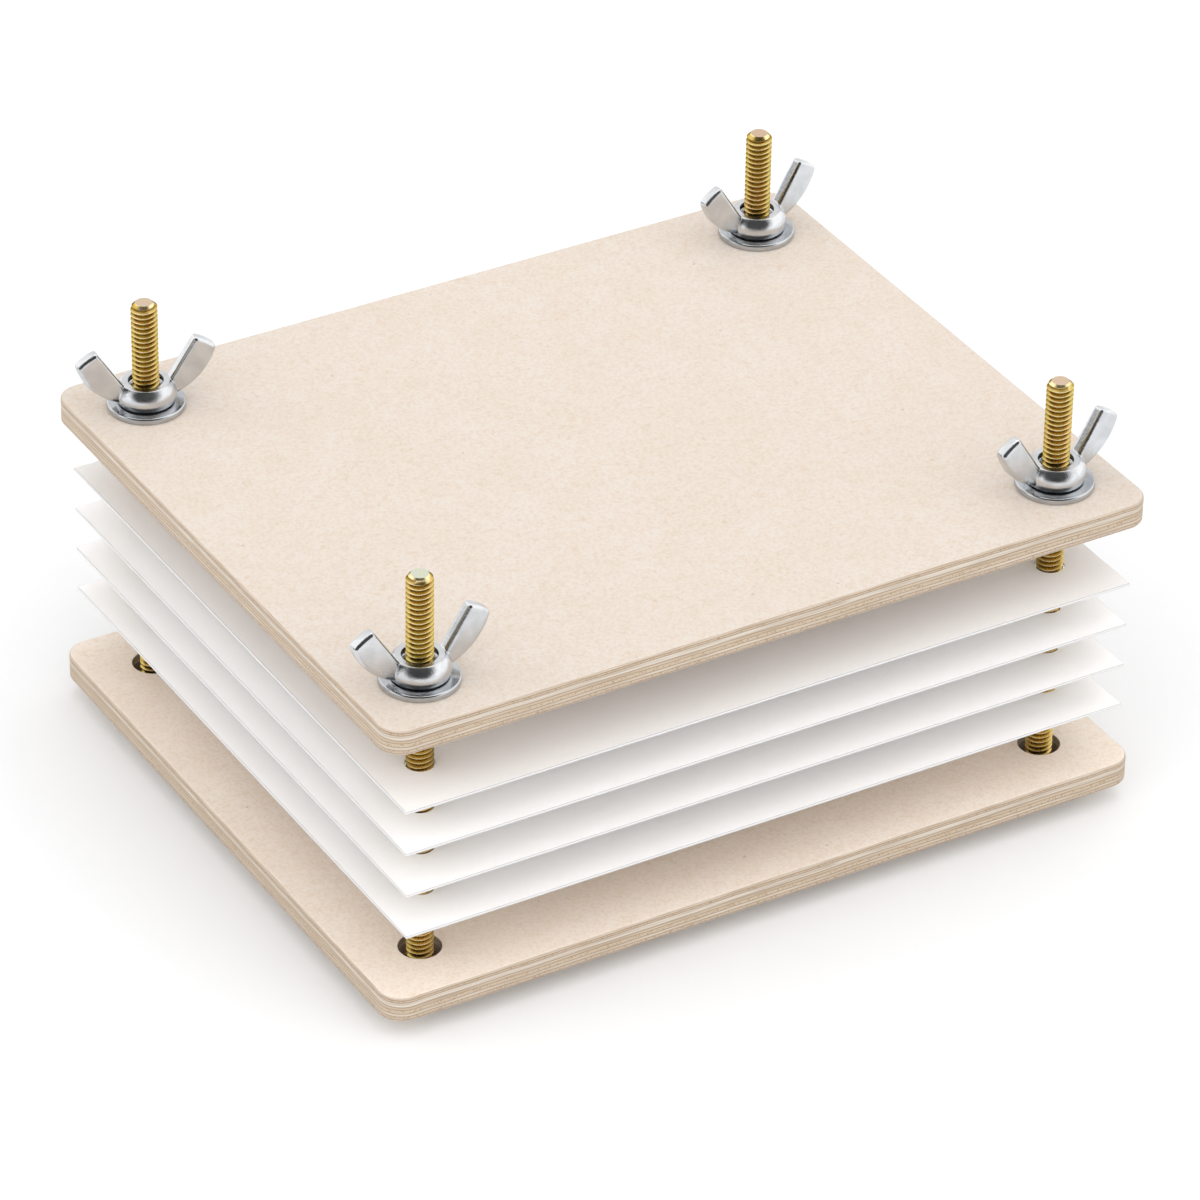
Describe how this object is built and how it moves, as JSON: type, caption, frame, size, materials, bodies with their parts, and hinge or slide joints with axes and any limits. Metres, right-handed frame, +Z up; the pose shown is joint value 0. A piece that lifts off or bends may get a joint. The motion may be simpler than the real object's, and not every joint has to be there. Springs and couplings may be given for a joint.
{
  "type": "flower press",
  "caption": "Flower press: flat plywood boards drawn together by wing nuts on long bolts, with white sheets threaded on the bolts between them.",
  "frame": {"origin": "centre of the footprint, on the plane that the four bolt heads stand on", "axes": "+X along the boards' length, +Y along their depth away from the front edge, +Z up along the bolts"},
  "size_m": [0.2008, 0.165, 0.112],
  "materials": {
    "plywood": "matte",
    "yellow_steel": "satin",
    "zinc_steel": "satin",
    "white_card": "matte"
  },
  "bodies": {
    "base": {"bottom_board": "plywood", "bolt_front_left": "yellow_steel", "bolt_front_right": "yellow_steel", "bolt_back_left": "yellow_steel", "bolt_back_right": "yellow_steel", "lower_washer_front_left": "zinc_steel", "lower_washer_front_right": "zinc_steel", "lower_washer_back_left": "zinc_steel", "lower_washer_back_right": "zinc_steel"},
    "upper_board": {"top_board": "plywood", "upper_washer_front_left": "zinc_steel", "upper_washer_front_right": "zinc_steel", "upper_washer_back_left": "zinc_steel", "upper_washer_back_right": "zinc_steel"},
    "wing_nut_front_left": {"wing_nut_front_left": "zinc_steel"},
    "wing_nut_front_right": {"wing_nut_front_right": "zinc_steel"},
    "wing_nut_back_left": {"wing_nut_back_left": "zinc_steel"},
    "wing_nut_back_right": {"wing_nut_back_right": "zinc_steel"},
    "sheet_1": {"sheet_1": "white_card"},
    "sheet_2": {"sheet_2": "white_card"},
    "sheet_3": {"sheet_3": "white_card"},
    "sheet_4": {"sheet_4": "white_card"}
  },
  "joints": [
    {"name": "press_travel", "type": "slide", "parent": "base", "child": "upper_board", "axis": [0, 0, 1], "range_m": [-0.0614, 0.01905]},
    {"name": "wing_nut_front_left_turn", "type": "hinge", "parent": "upper_board", "child": "wing_nut_front_left", "pos_m": [-0.0835, -0.066, 0.0777], "axis": [0, 0, 1], "range_deg": [-17405.72, 5401]},
    {"name": "wing_nut_front_right_turn", "type": "hinge", "parent": "upper_board", "child": "wing_nut_front_right", "pos_m": [0.0835, -0.066, 0.0777], "axis": [0, 0, 1], "range_deg": [-17405.72, 5401]},
    {"name": "wing_nut_back_left_turn", "type": "hinge", "parent": "upper_board", "child": "wing_nut_back_left", "pos_m": [-0.0835, 0.066, 0.0777], "axis": [0, 0, 1], "range_deg": [-17405.72, 5401]},
    {"name": "wing_nut_back_right_turn", "type": "hinge", "parent": "upper_board", "child": "wing_nut_back_right", "pos_m": [0.0835, 0.066, 0.0777], "axis": [0, 0, 1], "range_deg": [-17405.72, 5401]},
    {"name": "sheet_1_travel", "type": "slide", "parent": "base", "child": "sheet_1", "axis": [0, 0, 1], "range_m": [-0.01548, 0.00481]},
    {"name": "sheet_2_travel", "type": "slide", "parent": "base", "child": "sheet_2", "axis": [0, 0, 1], "range_m": [-0.02565, 0.00796]},
    {"name": "sheet_3_travel", "type": "slide", "parent": "base", "child": "sheet_3", "axis": [0, 0, 1], "range_m": [-0.03582, 0.01112]},
    {"name": "sheet_4_travel", "type": "slide", "parent": "base", "child": "sheet_4", "axis": [0, 0, 1], "range_m": [-0.04598, 0.01427]}
  ],
  "couplings": [
    {"joint": "wing_nut_front_left_turn", "follows": "press_travel", "rad_per_m": 4947.4},
    {"joint": "wing_nut_front_right_turn", "follows": "press_travel", "rad_per_m": 4947.4},
    {"joint": "wing_nut_back_left_turn", "follows": "press_travel", "rad_per_m": 4947.4},
    {"joint": "wing_nut_back_right_turn", "follows": "press_travel", "rad_per_m": 4947.4},
    {"joint": "sheet_1_travel", "follows": "press_travel", "ratio": 0.25192},
    {"joint": "sheet_2_travel", "follows": "press_travel", "ratio": 0.41754},
    {"joint": "sheet_3_travel", "follows": "press_travel", "ratio": 0.58316},
    {"joint": "sheet_4_travel", "follows": "press_travel", "ratio": 0.74878}
  ]
}
